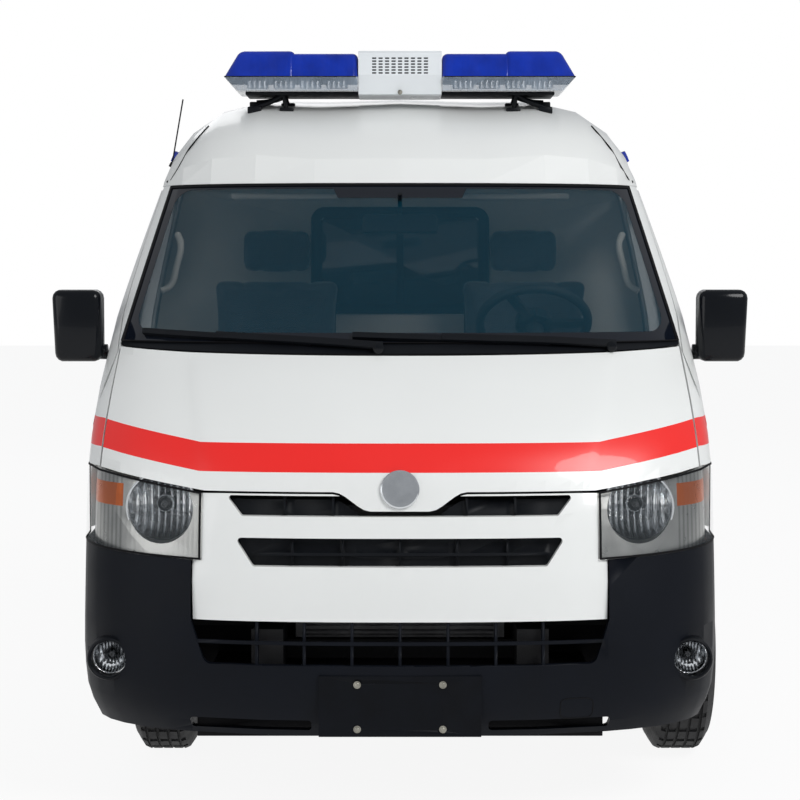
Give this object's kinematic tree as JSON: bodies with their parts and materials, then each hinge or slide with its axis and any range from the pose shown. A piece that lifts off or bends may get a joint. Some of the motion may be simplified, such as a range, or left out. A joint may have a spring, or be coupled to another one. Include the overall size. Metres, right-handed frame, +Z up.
{
  "type": "ambulance van",
  "caption": "High-roof van ambulance with light bar, red waist stripe, opening front doors, bonnet and tailgate, steered front wheels and rolling wheels.",
  "frame": {"origin": "on the ground under the middle of the length and width", "axes": "+Z up, -Y towards the front, +X towards the left side of the vehicle"},
  "size_m": [2.184, 5.3658, 2.312],
  "materials": {
    "antenna_black": "black rod",
    "black_plastic": "grained black plastic",
    "blue_lens": "blue lens",
    "cab_trim": "beige trim",
    "clear_lens": "clear lens",
    "dark_glass": "tinted glass",
    "dash_plastic": "soft dark plastic",
    "engine_metal": "bare castings",
    "exhaust_steel": "steel tube",
    "lamp_chrome": "bright reflector",
    "paint": "white gloss paint",
    "red_lens": "red lens",
    "rim_silver": "silver painted wheel",
    "seat_fabric": "dark woven cloth",
    "speaker_white": "silver white plastic",
    "steel_black": "black chassis paint",
    "tyre_rubber": "black rubber",
    "underbody": "grey underbody coat"
  },
  "bodies": {
    "body": {"floor_pan": "underbody", "frame_rails": "steel_black", "radiator": "engine_metal", "engine": "engine_metal", "suspension": "steel_black", "rear_axle": "steel_black", "fuel_tank": "black_plastic", "exhaust": "exhaust_steel", "side_left": "paint", "side_right": "paint", "sliding_door": "paint", "side_glass": "dark_glass", "roof": "paint", "pillars": "paint", "windscreen": "dark_glass", "cowl": "black_plastic", "wipers": "black_plastic", "fascia": "paint", "grille": "black_plastic", "bumper_front": "black_plastic", "plate": "black_plastic", "lamp_lenses": "clear_lens", "lamp_bowls": "lamp_chrome", "rear_bumper": "black_plastic", "tail_lamps": "red_lens", "bar_base": "black_plastic", "bar_blue": "blue_lens", "bar_clear": "clear_lens", "bar_speaker": "speaker_white", "antenna": "antenna_black", "dashboard": "dash_plastic", "seats": "seat_fabric", "partition": "cab_trim"},
    "door_left": {"door_left": "paint", "glass_left": "dark_glass", "mirror_left": "black_plastic"},
    "door_right": {"door_right": "paint", "glass_right": "dark_glass", "mirror_right": "black_plastic"},
    "tailgate": {"tailgate": "paint", "gate_glass": "dark_glass"},
    "bonnet": {"bonnet": "paint"},
    "knuckle_left": {"knuckle_left": "steel_black"},
    "knuckle_right": {"knuckle_right": "steel_black"},
    "wheel_fl": {"tyre_fl": "tyre_rubber", "rim_fl": "rim_silver"},
    "wheel_fr": {"tyre_fr": "tyre_rubber", "rim_fr": "rim_silver"},
    "wheel_rl": {"tyre_rl": "tyre_rubber", "rim_rl": "rim_silver"},
    "wheel_rr": {"tyre_rr": "tyre_rubber", "rim_rr": "rim_silver"},
    "steering_wheel": {"steering_wheel": "dash_plastic"}
  },
  "joints": [
    {"name": "steer_left", "type": "hinge", "parent": "body", "child": "knuckle_left", "pos_m": [0.7305, -1.6702, 0.345], "axis": [0, 0, 1], "range_deg": [-34, 34]},
    {"name": "steer_right", "type": "hinge", "parent": "body", "child": "knuckle_right", "pos_m": [-0.7305, -1.6702, 0.345], "axis": [0, 0, 1], "range_deg": [-34, 34]},
    {"name": "steering_wheel_turn", "type": "hinge", "parent": "body", "child": "steering_wheel", "pos_m": [0.44, -1.6002, 1.393], "axis": [0, 0.6428, 0.766], "range_deg": [-545, 545]},
    {"name": "wheel_fl_spin", "type": "hinge", "parent": "knuckle_left", "child": "wheel_fl", "pos_m": [0.8275, -1.6702, 0.345], "axis": [1, 0, 0], "continuous": true},
    {"name": "wheel_fr_spin", "type": "hinge", "parent": "knuckle_right", "child": "wheel_fr", "pos_m": [-0.8275, -1.6702, 0.345], "axis": [1, 0, 0], "continuous": true},
    {"name": "wheel_rl_spin", "type": "hinge", "parent": "body", "child": "wheel_rl", "pos_m": [0.8275, 1.4398, 0.345], "axis": [1, 0, 0], "continuous": true},
    {"name": "wheel_rr_spin", "type": "hinge", "parent": "body", "child": "wheel_rr", "pos_m": [-0.8275, 1.4398, 0.345], "axis": [1, 0, 0], "continuous": true},
    {"name": "door_left_open", "type": "hinge", "parent": "body", "child": "door_left", "pos_m": [0.942, -2.1452, 1.3], "axis": [0, 0, -1], "range_deg": [0, 68]},
    {"name": "door_right_open", "type": "hinge", "parent": "body", "child": "door_right", "pos_m": [-0.942, -2.1452, 1.3], "axis": [0, 0, 1], "range_deg": [0, 68]},
    {"name": "tailgate_open", "type": "hinge", "parent": "body", "child": "tailgate", "pos_m": [0, 2.5733, 1.843], "axis": [1, 0, 0], "range_deg": [0, 85]},
    {"name": "bonnet_open", "type": "hinge", "parent": "body", "child": "bonnet", "pos_m": [0, -1.9852, 1.365], "axis": [-1, 0, 0], "range_deg": [0, 50]}
  ],
  "couplings": [
    {"joint": "steer_right", "follows": "steer_left", "ratio": 1},
    {"joint": "steering_wheel_turn", "follows": "steer_left", "ratio": 16}
  ]
}
